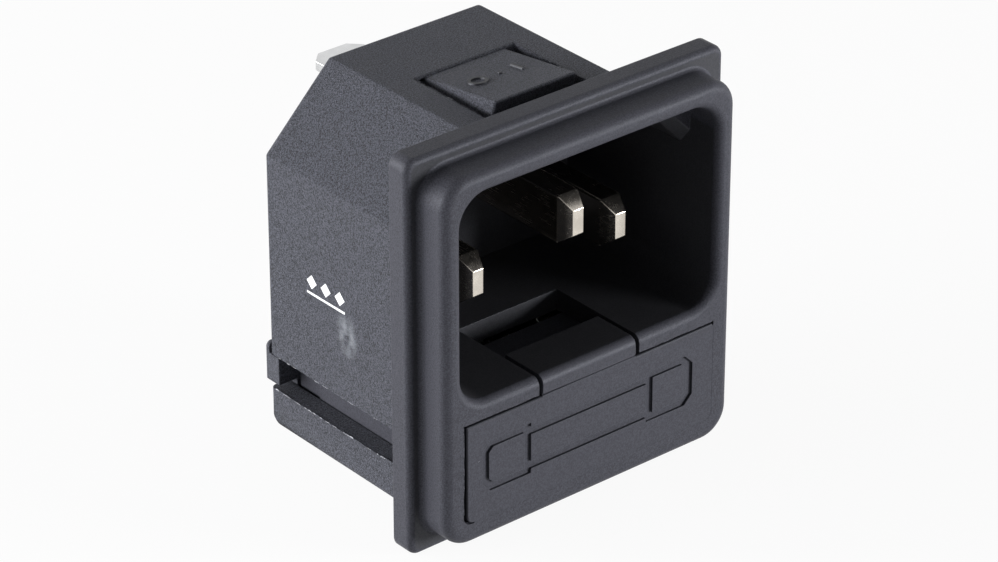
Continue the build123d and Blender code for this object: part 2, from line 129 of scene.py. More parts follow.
# Rounding of the moulded and stamped edges
EDGE_SEGMENTS = 2
FINGER_ROUND = 0.28 * MM
BODY_ROUND = 0.1 * MM
SLOT_ROUND = 0.05 * MM
FIT_ROUND = 0.03 * MM
DRAWER_ROUND = 0.05 * MM
COVER_ROUND = 0.08 * MM
STRIP_ROUND = 0.06 * MM
CLIP_ROUND = 0.04 * MM
RIVET_ROUND = 0.08 * MM

# Flash: a fin's root in the wall, the wander of its height as shares, and its thickness
FIN_ROOT = 0.02 * MM
FIN_START = 0.4
FIN_LEAST = 0.08
FIN_WANDER = 0.35
FIN_END = 0.05
FIN_THICK = 0.6

# Slivers: their lengths, their least height as a share, their step and how far they stand out
BURR_SHORT, BURR_LONG = 0.12 * MM, 0.5 * MM
BURR_LEAST = 0.4
BURR_STEP = 0.1 * MM
BURR_PROUD = 0.012 * MM
JOINT_FRONT = 0.06 * MM
JOINT_TOP = 4.0 * MM

# Marks on the upper snap finger: how far their sides lean in, their height and their place on the ramp
MARK_LEAN = 0.4
MARK_HEIGHT = 0.13 * MM
MARK_SHARE = 0.53

# Printed stamp on the left side, and the rubbed place below it
INK_HEIGHT = 0.012 * MM
STAMP_MIDDLE = Vector((-BODY_SIDE, 10.1 * MM, 0.36 * MM))
DIAMOND_SIDE = 0.85 * MM
DIAMOND_PITCH = 1.7 * MM
DIAMOND_RISE = 0.15 * MM
LINE_LENGTH, LINE_WIDTH = 4.6 * MM, 0.2 * MM
LINE_DROP = 0.85 * MM
SMEAR_MIDDLE = Vector((-BODY_SIDE, 7.6 * MM, -2.3 * MM))
SMEAR_SIZE = Vector((1.5, 1.4, 2.2)) * MM

# Noise: the range that holds most of its values, a narrow one for crisp flecks and a wide one
SPREAD = (0.3, 0.7)
CRISP_SPREAD = (0.38, 0.62)
WIDE_SPREAD = (0.25, 0.75)

# Plastic: its grain, flecks, patches, waves and dust, their part in the gloss, and the rubbed place
GRAIN_SIZE = 0.11 * MM
GRAIN_ROUGHNESS = 0.7
GRAIN_GLOSS = 0.06
FLECK_SIZE = 0.12 * MM
PATCH_SIZE = 4.0 * MM
PATCH_GLOSS = 0.03
PATCH_SHARE = 0.8
WAVE_SIZE, WAVE_DEPTH = 1.6 * MM, 0.01 * MM
DUST_SPACING, DUST_RADIUS = 1.1 * MM, 0.06 * MM
DUST_LEAST = 0.4
DUST_TONE = (0.3, 0.31, 0.33)
GLOSS_TINT = (0.86, 0.89, 1.0, 1.0)
SMEAR_CORE = 0.4
SMEAR_SPREAD = (0.36, 0.6)
SMEAR_GRAIN = 0.9 * MM
SMEAR_TONE = (0.17, 0.18, 0.2)
SMEAR_POLISH = 0.12

# Metal: its streaks and clouds, their part in the gloss, and as shares the tones of its clouds and of the
# painted shade on a pin's shaft behind the tip
STREAK_SIZE = 0.12 * MM
STREAK_STRETCH = 0.06
STREAK_GLOSS = (-0.05, 0.06)
CLOUD_SIZE = 1.4 * MM
CLOUD_SPREAD = (0.35, 0.65)
CLOUD_GLOSS = 0.04
CLOUDY_SHARE = 0.88
# the share of the tone left on a pin's shaft, painted dark as the socket's shade
SHAFT_SHADE_SHARE = 0.3
TIP_LENGTH = 0.1 * MM
TIP_FADE = 0.6 * MM
NICKEL_TONE = (0.66, 0.61, 0.54)

# Print: its thin places, their tone and that of the full print
THIN_SIZE = 0.22 * MM
THIN_SPREAD = (0.58, 0.74)
THIN_TONE = (0.3, 0.31, 0.33)
PRINT_TONE = (0.78, 0.79, 0.8)

# Floor, sky and lamps
FLOOR_HALF = 3.0
FLOOR_TONE = (0.9, 0.9, 0.91)
FLOOR_LIT = 0.07
SKY_TONE = (0.94, 0.97, 1.0)
SKY_LEVEL = 0.12
LAMP_DISTANCE = 0.5

# Camera, at the photograph's angle
IMAGE_WIDTH = 998
FOCAL_PIXELS = 4324.5
SENSOR = 36.0
CAMERA_AZIMUTH = math.radians(-39.93)
CAMERA_ELEVATION = math.radians(28.90)
CAMERA_DISTANCE = 320.75 * MM
CAMERA_TARGET = Vector((-5.009, 0.0, 2.605)) * MM


# Node helpers


class Finish:
    """A node material with one Principled shader, and short calls for what feeds it."""

    def __init__(self, name):
        self.material = bpy.data.materials.new(name)
        self.material.use_nodes = True
        self.tree = self.material.node_tree
        self.tree.nodes.clear()
        self.output = self.node("ShaderNodeOutputMaterial")
        self.shader = self.node("ShaderNodeBsdfPrincipled")
        self.link(self.shader.outputs["BSDF"], self.output.inputs["Surface"])
        self.place = self.node("ShaderNodeTexCoord").outputs["Object"]

    def node(self, kind, **settings):
        """Adds a node and sets its properties."""
        made = self.tree.nodes.new(kind)
        for key, value in settings.items():
            setattr(made, key, value)
        return made

    def link(self, source, target):
        """Joins an output to an input."""
        self.tree.links.new(source, target)

    def feed(self, socket, source):
        """Joins an output to one of the shader's sockets."""
        self.link(source, self.shader.inputs[socket])

    def set(self, **sockets):
        """Sets sockets of the shader; underscores in a name stand for spaces."""
        for key, value in sockets.items():
            self.shader.inputs[key.replace("_", " ")].default_value = value

    def stretched(self, scale):
        """The object's coordinates, stretched by a scale for each axis."""
        mapping = self.node("ShaderNodeMapping")
        mapping.inputs["Scale"].default_value = scale
        self.link(self.place, mapping.inputs["Vector"])
        return mapping.outputs["Vector"]

    def noise(self, size, detail=2.0, roughness=0.5, vector=None):
        """Noise whose blobs are about size metres across."""
        made = self.node("ShaderNodeTexNoise")
        made.inputs["Scale"].default_value = 1 / size
        made.inputs["Detail"].default_value = detail
        made.inputs["Roughness"].default_value = roughness
        self.link(vector or self.place, made.inputs["Vector"])
        return made.outputs["Fac"]

    def ramp(self, source, low, high, start, end):
        """Maps a value between low and high to start and end, with no overshoot."""
        made = self.node("ShaderNodeMapRange")
        for key, value in (("From Min", low), ("From Max", high), ("To Min", start), ("To Max", end)):
            made.inputs[key].default_value = value
        self.link(source, made.inputs["Value"])
        return made.outputs["Result"]

    def math(self, operation, first, second):
        """What the operation makes of two sockets or numbers."""
        made = self.node("ShaderNodeMath", operation=operation)
        for socket, value in zip(made.inputs, (first, second)):
            if isinstance(value, (int, float)):
                socket.default_value = value
            else:
                self.link(value, socket)
        return made.outputs["Value"]

    def mix(self, amount, first, second):
        """A colour between two colours or colour sockets."""
        made = self.node("ShaderNodeMix", data_type="RGBA")
        self.link(amount, made.inputs["Factor"])
        for socket, value in zip((made.inputs[6], made.inputs[7]), (first, second)):
            if isinstance(value, tuple):
                socket.default_value = (*value, 1.0)
            else:
                self.link(value, socket)
        return made.outputs[2]

    def near(self, middle, size, core):
        """A soft blob: 1 within a core, as a share of its size for each axis, and 0 beyond that size."""
        mapping = self.node("ShaderNodeMapping")
        mapping.inputs["Scale"].default_value = [1 / extent for extent in size]
        mapping.inputs["Location"].default_value = [-place / extent for place, extent in zip(middle, size)]
        self.link(self.place, mapping.inputs["Vector"])
        reach = self.node("ShaderNodeVectorMath", operation="LENGTH")
        self.link(mapping.outputs["Vector"], reach.inputs[0])
        return self.ramp(reach.outputs["Value"], core, 1.0, 1, 0)

    def specks(self, spacing, radius, least, share):
        """Sparse round dots, each from a least share of the radius up: 1 in a dot and 0 elsewhere."""
        cells = self.node("ShaderNodeTexVoronoi")
        cells.inputs["Scale"].default_value = 1 / spacing
        self.link(self.place, cells.inputs["Vector"])
        split = self.node("ShaderNodeSeparateColor")
        self.link(cells.outputs["Color"], split.inputs["Color"])
        chosen = self.math("LESS_THAN", split.outputs["Red"], share)
        size = self.ramp(split.outputs["Green"], 0, 1, least * radius / spacing, radius / spacing)
        inside = self.math("LESS_THAN", cells.outputs["Distance"], size)
        return self.math("MULTIPLY", chosen, inside)

    def bump(self, *layers):
        """Chains height layers, each as (height socket, depth in metres), into the normal."""
        normal = None
        for height, depth in layers:
            made = self.node("ShaderNodeBump")
            made.inputs["Distance"].default_value = depth
            self.link(height, made.inputs["Height"])
            if normal is not None:
                self.link(normal, made.inputs["Normal"])
            normal = made.outputs["Normal"]
        self.link(normal, self.shader.inputs["Normal"])


# Finishes


def shaded(tone, share):
    """A tone times a share."""
    return tuple(share * c for c in tone)


def moulded(name, tone, grain_depth, roughness, gloss_level, dust, speckle, smear=False):
    """Moulded thermoplastic: fine grain, uneven gloss, a little dust and a rubbed place."""
    finish = Finish(name)
    grain = finish.noise(GRAIN_SIZE, detail=3.0, roughness=GRAIN_ROUGHNESS)
    patches = finish.noise(PATCH_SIZE, detail=3.0)
    flecks = finish.noise(FLECK_SIZE, detail=2.0, roughness=GRAIN_ROUGHNESS)
    ground = finish.mix(finish.ramp(patches, *SPREAD, 0, 1),
                        shaded(tone, 1 - speckle), shaded(tone, 1 - PATCH_SHARE * speckle))
    colour = finish.mix(finish.ramp(flecks, *CRISP_SPREAD, 0, 1), ground, shaded(tone, 1 + speckle))
    colour = finish.mix(finish.specks(DUST_SPACING, DUST_RADIUS, DUST_LEAST, dust), colour, DUST_TONE)
    shine = finish.math("ADD", finish.ramp(grain, *WIDE_SPREAD, -GRAIN_GLOSS, GRAIN_GLOSS),
                        finish.ramp(patches, *SPREAD, roughness - PATCH_GLOSS, roughness + PATCH_GLOSS))
    if smear:
        streaky = finish.ramp(finish.noise(SMEAR_GRAIN, detail=4.0), *SMEAR_SPREAD, 0, 1)
        rubbed = finish.math("MULTIPLY", finish.near(SMEAR_MIDDLE, SMEAR_SIZE, SMEAR_CORE), streaky)
        colour = finish.mix(rubbed, colour, SMEAR_TONE)
        shine = finish.math("SUBTRACT", shine, finish.math("MULTIPLY", rubbed, SMEAR_POLISH))
    finish.feed("Base Color", colour)
    finish.feed("Roughness", shine)
    finish.set(Specular_IOR_Level=gloss_level, Specular_Tint=GLOSS_TINT)
    finish.bump((finish.noise(WAVE_SIZE), WAVE_DEPTH), (grain, grain_depth))
    return finish.material


def plated(name, tone, roughness, streak_axis, scratch_depth, shade_from=None):
    """Plated metal: rolling streaks along one axis, cloudy gloss, and painted shade darkening it behind the
    tip.
    """
    finish = Finish(name)
    stretch = [1.0, 1.0, 1.0]
    stretch[streak_axis] = STREAK_STRETCH
    streaks = finish.noise(STREAK_SIZE, detail=3.0, roughness=0.6, vector=finish.stretched(stretch))
    clouds = finish.noise(CLOUD_SIZE, detail=3.0)
    colour = finish.mix(finish.ramp(clouds, *CLOUD_SPREAD, 0, 1), shaded(tone, CLOUDY_SHARE), tone)
    # painted shade: behind the tip the shaft lies deep in the socket, so its colour is darkened
    if shade_from is not None:
        axes = finish.node("ShaderNodeSeparateXYZ")
        finish.link(finish.place, axes.inputs["Vector"])
        shaft_shade = finish.ramp(axes.outputs["Y"], shade_from, shade_from + TIP_FADE, 0, 1)
        colour = finish.mix(shaft_shade, colour, shaded(tone, SHAFT_SHADE_SHARE))
    finish.feed("Base Color", colour)
    shine = finish.math("ADD", finish.ramp(streaks, *SPREAD, *STREAK_GLOSS),
                        finish.ramp(clouds, *SPREAD, roughness - CLOUD_GLOSS, roughness + CLOUD_GLOSS))
    finish.feed("Roughness", shine)
    finish.set(Metallic=1.0)
    finish.bump((streaks, scratch_depth))
    return finish.material


def glass(name):
    """Clear fuse glass with a faint waviness."""
    finish = Finish(name)
    finish.set(Transmission_Weight=1.0, IOR=1.5, Base_Color=(0.93, 0.97, 0.96, 1.0))
    finish.feed("Roughness", finish.ramp(finish.noise(2.0 * MM), *SPREAD, 0.01, 0.04))
    finish.bump((finish.noise(4.0 * MM), 0.02 * MM))
    return finish.material


def ink(name):
    """White pad print, thin enough in places for the plastic to show through."""
    finish = Finish(name)
    thin = finish.noise(THIN_SIZE, detail=3.0, roughness=0.65)
    finish.feed("Base Color", finish.mix(finish.ramp(thin, *THIN_SPREAD, 0, 1), PRINT_TONE, THIN_TONE))
    finish.feed("Roughness", finish.ramp(thin, *SPREAD, 0.45, 0.6))
    finish.bump((thin, 0.004 * MM))
    return finish.material


black_body = moulded("moulded_grain", tone=(0.041, 0.0425, 0.0525), grain_depth=0.13 * MM,
                     roughness=0.56, gloss_level=0.25, dust=0.07, speckle=0.88, smear=True)
black_front = moulded("moulded_satin", tone=(0.039, 0.0395, 0.0482), grain_depth=0.028 * MM,
                      roughness=0.48, gloss_level=0.15, dust=0.012, speckle=0.3)
black_drawer = moulded("drawer_satin", tone=(0.041, 0.0415, 0.0505), grain_depth=0.018 * MM,
                       roughness=0.48, gloss_level=0.15, dust=0.008, speckle=0.22)
black_cover = moulded("cover_grain", tone=(0.04, 0.0415, 0.051), grain_depth=0.08 * MM,
                      roughness=0.56, gloss_level=0.3, dust=0.02, speckle=0.65)
# polished socket walls, with their tone painted darker as the shade inside the socket
socket_painted_shade = moulded("polished_socket_shaded", tone=(0.028, 0.0283, 0.032), grain_depth=0.01 * MM,
                       roughness=0.42, gloss_level=0.26, dust=0.006, speckle=0.25)
# polished marks, with a near-black tone painted as the shade they show
mark_painted_shade = moulded("polished_marks_painted_dark", tone=(0.008, 0.008, 0.01), grain_depth=0.004 * MM,
                     roughness=0.4, gloss_level=0.2, dust=0.0, speckle=0.2)
# sunk sign and the face's rim by the gap: a darker tone painted as the shade in them
groove_gap_shade = moulded("groove_and_gap_painted_shade", tone=(0.014, 0.0143, 0.018), grain_depth=0.004 * MM,
                       roughness=0.5, gloss_level=0.2, dust=0.0, speckle=0.2)
# slivers of flash on the edges, with a pale tone painted as edge highlights
flash_painted_highlight = moulded("edge_flash_painted_highlight", tone=(0.26, 0.265, 0.285), grain_depth=0.02 * MM,
                     roughness=0.55, gloss_level=0.3, dust=0.0, speckle=0.5)
flat_nickel = plated("bright_nickel", tone=NICKEL_TONE, roughness=0.22, streak_axis=1,
                     scratch_depth=0.003 * MM, shade_from=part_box("line_pin")[0][1] + TIP_LENGTH)
earth_nickel = plated("earth_nickel", tone=NICKEL_TONE, roughness=0.22, streak_axis=1,
                      scratch_depth=0.003 * MM, shade_from=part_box("earth_pin")[0][1] + TIP_LENGTH)
tin = plated("satin_tin", tone=(0.66, 0.665, 0.67), roughness=0.3, streak_axis=1, scratch_depth=0.003 * MM)
bronze = plated("sprung_bronze", tone=(0.75, 0.68, 0.56), roughness=0.28, streak_axis=1,
                scratch_depth=0.002 * MM)
cap_metal = plated("fuse_cap_metal", tone=(0.82, 0.79, 0.74), roughness=0.22, streak_axis=0,
                   scratch_depth=0.002 * MM)
wire_metal = plated("wire_metal", tone=(0.7, 0.69, 0.66), roughness=0.35, streak_axis=0,
                    scratch_depth=0.001 * MM)
fuse_glass = glass("clear_glass")
white_ink = ink("white_ink")


# Moulded and stamped pieces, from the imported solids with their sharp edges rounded


def welded(node):
    """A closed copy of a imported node's mesh, with its flat faces joined."""
    mesh = bmesh.new()
    mesh.from_mesh(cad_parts[node].data)
    bmesh.ops.remove_doubles(mesh, verts=mesh.verts, dist=WELD)
    bmesh.ops.dissolve_limit(mesh, angle_limit=FLAT_ANGLE, verts=mesh.verts, edges=mesh.edges)
    return mesh


def link_piece(name, mesh, body, materials):
    """Makes an object of a bmesh, gives it its finishes and lets it ride on its body."""
    data = bpy.data.meshes.new(name)
    mesh.to_mesh(data)
    mesh.free()
    piece = bpy.data.objects.new(name, data)
    bpy.context.scene.collection.objects.link(piece)
    for material in materials:
        data.materials.append(material)
    data.shade_smooth()
    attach(piece, body)
    return piece


def apply_modifiers(piece):
    """Bakes the piece's modifiers into its mesh."""
    graph = bpy.context.evaluated_depsgraph_get()
    made = bpy.data.meshes.new_from_object(piece.evaluated_get(graph))
    piece.modifiers.clear()
    piece.data = made


def cut_corner(mesh, point, normal):
    """Takes off what lies beyond a plane and closes the mesh there."""
    geometry = mesh.verts[:] + mesh.edges[:] + mesh.faces[:]
    cut = bmesh.ops.bisect_plane(mesh, geom=geometry, dist=WELD, plane_co=point, plane_no=normal,
                                 clear_outer=True)
    rim = [item for item in cut["geom_cut"] if isinstance(item, bmesh.types.BMEdge)]
    bmesh.ops.edgeloop_fill(mesh, edges=rim)


def rounded(node, name, body, materials, width, zone=None, widths=None, corner=None):
    """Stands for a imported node: its own form, every sharp edge rounded by up to a width, in its own box."""
    mesh = welded(node)
    weight = mesh.edges.layers.float.new("bevel_weight_edge")
    for edge in mesh.edges:
        if edge.is_manifold and edge.calc_face_angle() > EDGE_ANGLE:
            middle = (edge.verts[0].co + edge.verts[1].co) / 2
            edge[weight] = widths(middle, edge.is_convex) / width if widths else 1.0
    if corner:
        cut_corner(mesh, *corner)
    if zone:
        for face in mesh.faces:
            face.material_index = zone(face.calc_center_median())
    piece = link_piece(name, mesh, body, materials)
    bevel = piece.modifiers.new("edges", "BEVEL")
    bevel.limit_method = "WEIGHT"
    bevel.width = width
    bevel.segments = EDGE_SEGMENTS
    bevel.use_clamp_overlap = False
    normals = piece.modifiers.new("normals", "WEIGHTED_NORMAL")
    normals.keep_sharp = True
    apply_modifiers(piece)
    low, high = (Vector(end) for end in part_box(node))
    for vertex in piece.data.vertices:
        vertex.co = [min(max(c, a), b) for c, a, b in zip(vertex.co, low, high)]
    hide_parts(node)


def housing_zone(centre):
    """0 on the grained body behind the panel, 1 on the smooth front, 2 on the polished socket walls, whose
    tone is painted darker as the socket's shade.
    """
    in_socket = abs(centre.x) < SOCKET_HALF + WELD and TUNNEL_BOTTOM < centre.z < SOCKET_TOP + WELD
    in_body = abs(centre.x) + centre.z < BODY_CHAMFER and centre.y < BODY_REAR - REAR_RIM
    if in_socket and in_body:
        # the socket walls behind the rim get the darker tone painted as shade
        return 2 if centre.y > FRONT + SOCKET_RIM else 1
    return 1 if centre.y < WELD else 0


def housing_widths(middle, convex):
    """How far each edge of the housing is rounded."""
    on_finger = abs(middle.x - FINGER_X) < FINGER_HALF + WELD and abs(middle.z) > FINGER_FOOT
    if convex and on_finger and FINGER_CREST.y - WELD < middle.y < FINGER_ROOT.y + WELD:
        return FINGER_ROUND
    if abs(middle.x) < SOCKET_HALF and WINDOW_BOTTOM - WELD < middle.z < SOCKET_BOTTOM + WELD:
        return FIT_ROUND
    if abs(middle.x) > SOCKET_HALF and SLOT_BOTTOM - WELD < middle.z < SLOT_TOP + WELD:
        return SLOT_ROUND
    return BODY_ROUND if convex else SLOT_ROUND


def drawer_zone(centre):
    """1 in the sunk sign and on a band of the face's upper and left rim, painted dark as the shade in the
    groove and the gap; 2 on the tongue's top, painted dark as the socket's shade; 0 elsewhere.
    """
    if centre.z > SOCKET_BOTTOM - WELD:
        return 2
    behind_face = FRONT + WELD < centre.y < FRONT + FACE_REACH
    beside_tongue = not NOTCH_LEFT < centre.x < NOTCH_RIGHT
    # a band along the gap, above and at the left, is painted dark as the gap's shade
    upper_rim = centre.z > FACE_TOP - GAP_SHADE_BAND and beside_tongue
    if behind_face and (upper_rim or centre.x < FACE_LEFT + GAP_SHADE_BAND):
        return 1
    in_sign = abs(centre.x) < SIGN_HALF and SIGN_BOTTOM < centre.z < SIGN_TOP
    return 1 if in_sign and FRONT + WELD < centre.y < FRONT + SIGN_DEPTH - WELD else 0


def drawer_widths(middle, convex):
    """How far each edge of the drawer is rounded: least at the front of its face and in hollows."""
    return DRAWER_ROUND if convex and middle.y > FRONT + WELD else FIT_ROUND


rounded("housing", "housing_moulding", "inlet",
        [black_body, black_front, socket_painted_shade], FINGER_ROUND, zone=housing_zone, widths=housing_widths,
        corner=(Vector((0, BODY_REAR, BODY_BOTTOM + REAR_CUT)), (BACK - UP).normalized()))
rounded("fuse_drawer", "fuse_drawer_moulding", "drawer",
        [black_drawer, groove_gap_shade, socket_painted_shade], DRAWER_ROUND, zone=drawer_zone, widths=drawer_widths)
rounded("rear_cover", "rear_cover_moulding", "inlet", [black_cover], COVER_ROUND)
for pin, nickel in (("line_pin", flat_nickel), ("neutral_pin", flat_nickel), ("earth_pin", earth_nickel)):
    rounded(pin, f"{pin}_plated", "inlet", [nickel], STRIP_ROUND)
for tab in ("earth_terminal", "neutral_terminal", "line_terminal", "line_link"):
    rounded(tab, f"{tab}_plated", "inlet", [tin], STRIP_ROUND)
for side in ("left", "right"):
    rounded(f"{side}_fuse_clip", f"{side}_fuse_clip_plated", "inlet", [bronze], CLIP_ROUND)
    rounded(f"{side}_clip_rivet", f"{side}_clip_rivet_plated", "inlet", [bronze], RIVET_ROUND)


def dress(node, material):
    """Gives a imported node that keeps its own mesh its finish."""
    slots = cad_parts[node].data.materials
    slots.clear()
    slots.append(material)


for fuse in ("live", "spare"):
    dress(f"{fuse}_fuse_glass", fuse_glass)
    dress(f"{fuse}_fuse_wire", wire_metal)
    for side in ("left", "right"):
        dress(f"{fuse}_fuse_{side}_cap", cap_metal)


# Moulding flash, marks and print


def add_strip(mesh, rings):
    """Joins three-cornered rings into one closed strip."""
    rings = [[mesh.verts.new(corner) for corner in ring] for ring in rings]
    for first, second in zip(rings, rings[1:]):
        for a, b in ((0, 1), (1, 2), (2, 0)):
            mesh.faces.new((first[a], first[b], second[b], second[a]))
    mesh.faces.new(rings[0][::-1])
    mesh.faces.new(rings[-1])


def flash(mesh, start, end, growth, inward, height, step, seed):
    """Adds a ragged thin fin that grows along an edge, up to a height, and thins out inward."""
    chance = random.Random(seed)
    count = max(2, round((end - start).length / step))
    rings = []
    level = FIN_START
    for place in range(count + 1):
        level = min(1.0, max(FIN_LEAST, level + chance.uniform(-FIN_WANDER, FIN_WANDER)))
        tip = height * (level if 0 < place < count else FIN_END)
        foot = start.lerp(end, place / count)
        rings.append((foot - growth * FIN_ROOT, foot + growth * tip, foot + inward * FIN_THICK * tip))
    add_strip(mesh, rings)


def burrs(mesh, start, end, growth, inward, height, share, seed):
    """Scatters short slivers of flash along an edge, on about a share of its length."""
    chance = random.Random(seed)
    length = (end - start).length
    place = 0.0
    while place < length:
        reach = chance.uniform(BURR_SHORT, BURR_LONG)
        taken = chance.random() < share and place + reach < length
        tip = height * chance.uniform(BURR_LEAST, 1.0)
        if taken:
            flash(mesh, start.lerp(end, place / length), start.lerp(end, (place + reach) / length),
                  growth, inward, height=tip, step=BURR_STEP, seed=seed + round(place / WELD))
        place += reach


def add_piece(name, mesh, material, body="inlet"):
    """Links a small piece with plain faces, turned outwards."""
    bmesh.ops.recalc_face_normals(mesh, faces=mesh.faces)
    link_piece(name, mesh, body, [material]).data.shade_flat()


def housing_flash():
    """Ragged fins where the mould's parts met: side rails, window and snap finger's cuts."""
    mesh = bmesh.new()
    for side in (-1, 1):
        x = side * BODY_SIDE
        inward = -side * RIGHT
        flash(mesh, Vector((x, RAIL_FRONT, SLOT_BOTTOM)), Vector((x, RAIL_REAR, SLOT_BOTTOM)),
              UP, inward, height=0.12 * MM, step=0.13 * MM, seed=11 + side)
        flash(mesh, Vector((x, RAIL_FRONT, SLOT_TOP)), Vector((x, RAIL_REAR, SLOT_TOP)),
              -UP, inward, height=0.05 * MM, step=0.13 * MM, seed=21 + side)
        x = FINGER_X + side * CUT_X
        flash(mesh, Vector((x, CUT_FRONT, BODY_TOP)), Vector((x, CUT_REAR, BODY_TOP)),
              inward, -UP, height=0.07 * MM, step=0.2 * MM, seed=41 + side)
    for start, end, seed in ((WINDOW_LEFT, NOTCH_LEFT, 31), (NOTCH_RIGHT, WINDOW_RIGHT, 32)):
        flash(mesh, Vector((start, FRONT, WINDOW_TOP)), Vector((end, FRONT, WINDOW_TOP)),
              -UP, BACK, height=0.05 * MM, step=0.14 * MM, seed=seed)
    flash(mesh, Vector((WINDOW_LEFT, FRONT, WINDOW_TOP)),
          Vector((WINDOW_LEFT, FRONT, WINDOW_BOTTOM + WINDOW_CORNER)),
          RIGHT, BACK, height=0.07 * MM, step=0.16 * MM, seed=33)
    add_piece("housing_flash", mesh, black_body)


def housing_burrs():
    """Slivers on the edges of the side slots, flange joint and snap finger's cuts, with their pale tone a
    painted highlight.
    """
    mesh = bmesh.new()
    for side in (-1, 1):
        x = side * (BODY_SIDE + BURR_PROUD)
        inward = -side * RIGHT
        burrs(mesh, Vector((x, RAIL_FRONT, SLOT_BOTTOM)), Vector((x, RAIL_REAR, SLOT_BOTTOM)),
              UP, inward, height=0.13 * MM, share=0.5, seed=51 + side)
        burrs(mesh, Vector((x, RAIL_FRONT, SLOT_TOP)), Vector((x, RAIL_REAR, SLOT_TOP)),
              -UP, inward, height=0.06 * MM, share=0.25, seed=61 + side)
        burrs(mesh, Vector((x, JOINT_FRONT, SLOT_TOP)), Vector((x, JOINT_FRONT, JOINT_TOP)),
              -inward, BACK, height=0.05 * MM, share=0.35, seed=71 + side)
        x = FINGER_X + side * CUT_X
        burrs(mesh, Vector((x, CUT_FRONT, BODY_TOP)), Vector((x, CUT_REAR, BODY_TOP)),
              inward, -UP, height=0.1 * MM, share=0.55, seed=81 + side)
    add_piece("housing_burrs", mesh, flash_painted_highlight)


def face_fill():
    """Squares off the drawer face's rounded rim below and at the right, where no gap shows."""
    mesh = bmesh.new()
    corner = Vector((FACE_RIGHT - FACE_CORNER, FRONT, FACE_BOTTOM + FACE_CORNER))
    outline = [(Vector((FACE_LEFT + FACE_CORNER, FRONT, FACE_BOTTOM)), -UP)]
    for step in range(CORNER_STEPS + 1):
        turn = math.radians(90) * step / CORNER_STEPS
        out = RIGHT * math.sin(turn) - UP * math.cos(turn)
        outline.append((corner + FACE_CORNER * out, out))
    outline.append((Vector((FACE_RIGHT, FRONT, FACE_TOP - FACE_EDGE)), RIGHT))
    add_strip(mesh, [(place + FACE_SPILL * out, place - FACE_EDGE * out, place + FACE_EDGE * BACK)
                     for place, out in outline])
    add_piece("drawer_face_rim", mesh, black_drawer, "drawer")


def add_block(mesh, length, width, height, place):
    """A bar with chamfered top edges, on the plane that place stands for."""
    lean = MARK_LEAN * height
    low = [(sx * length / 2, sy * width / 2, 0) for sx, sy in SQUARE]
    high = [(sx * (length / 2 - lean), sy * (width / 2 - lean), height) for sx, sy in SQUARE]
    bottom = [mesh.verts.new(place @ Vector(c)) for c in low]
    top = [mesh.verts.new(place @ Vector(c)) for c in high]
    mesh.faces.new(bottom[::-1])
    mesh.faces.new(top)
    for i in range(4):
        j = (i + 1) % 4
        mesh.faces.new((bottom[i], bottom[j], top[j], top[i]))


def add_ring(mesh, outer, inner, height, place, count=32):
    """A ring with leaning sides, or a disc where the inner radius is nothing."""
    lean = MARK_LEAN * height
    profile = [(outer, 0), (outer - lean, height)]
    if inner:
        profile += [(inner + lean, height), (inner, 0)]
    turns = [2 * math.pi * i / count for i in range(count)]
    rings = [[mesh.verts.new(place @ Vector((radius * math.cos(t), radius * math.sin(t), rise)))
              for t in turns] for radius, rise in profile]
    pairs = list(zip(rings, rings[1:]))
    if inner:
        pairs.append((rings[-1], rings[0]))
    else:
        mesh.faces.new(rings[0][::-1])
        mesh.faces.new(rings[1])
    for first, second in pairs:
        for i in range(count):
            j = (i + 1) % count
            mesh.faces.new((first[i], first[j], second[j], second[i]))


def finger_marks():
    """Plain mould marks on the upper snap finger's ramp: a ring, a dot and a bar, with their tone painted
    near black as shade.
    """
    ramp = FINGER_ROOT - FINGER_CREST
    back = ramp.normalized()
    axes = Matrix((RIGHT, back, RIGHT.cross(back))).transposed().to_4x4()
    place = Matrix.Translation(FINGER_CREST + ramp * MARK_SHARE) @ axes
    mesh = bmesh.new()
    add_ring(mesh, outer=0.85 * MM, inner=0.5 * MM, height=MARK_HEIGHT,
             place=place @ Matrix.Translation((-2.0 * MM, 0, 0)))
    add_ring(mesh, outer=0.19 * MM, inner=0, height=MARK_HEIGHT,
             place=place @ Matrix.Translation((0.1 * MM, 0, 0)), count=16)
    upright = Matrix.Translation((1.8 * MM, 0, 0)) @ Matrix.Rotation(math.radians(90), 4, "Z")
    add_block(mesh, length=1.5 * MM, width=0.32 * MM, height=MARK_HEIGHT, place=place @ upright)
    add_piece("finger_marks", mesh, mark_painted_shade)


def side_stamp():
    """A plain inspection stamp printed on the left side: three diamonds over a thin line."""
    axes = Matrix((-BACK, UP, -RIGHT)).transposed().to_4x4()
    place = Matrix.Translation(STAMP_MIDDLE) @ axes
    turned = Matrix.Rotation(math.radians(45), 4, "Z")
    mesh = bmesh.new()
    for along in (-DIAMOND_PITCH, 0, DIAMOND_PITCH):
        add_block(mesh, DIAMOND_SIDE, DIAMOND_SIDE, INK_HEIGHT,
                  place @ Matrix.Translation((along, DIAMOND_RISE, 0)) @ turned)
    add_block(mesh, LINE_LENGTH, LINE_WIDTH, INK_HEIGHT, place @ Matrix.Translation((0, -LINE_DROP, 0)))
    add_piece("side_stamp", mesh, white_ink)


housing_flash()
housing_burrs()
face_fill()
finger_marks()
side_stamp()


# Floor, light and camera


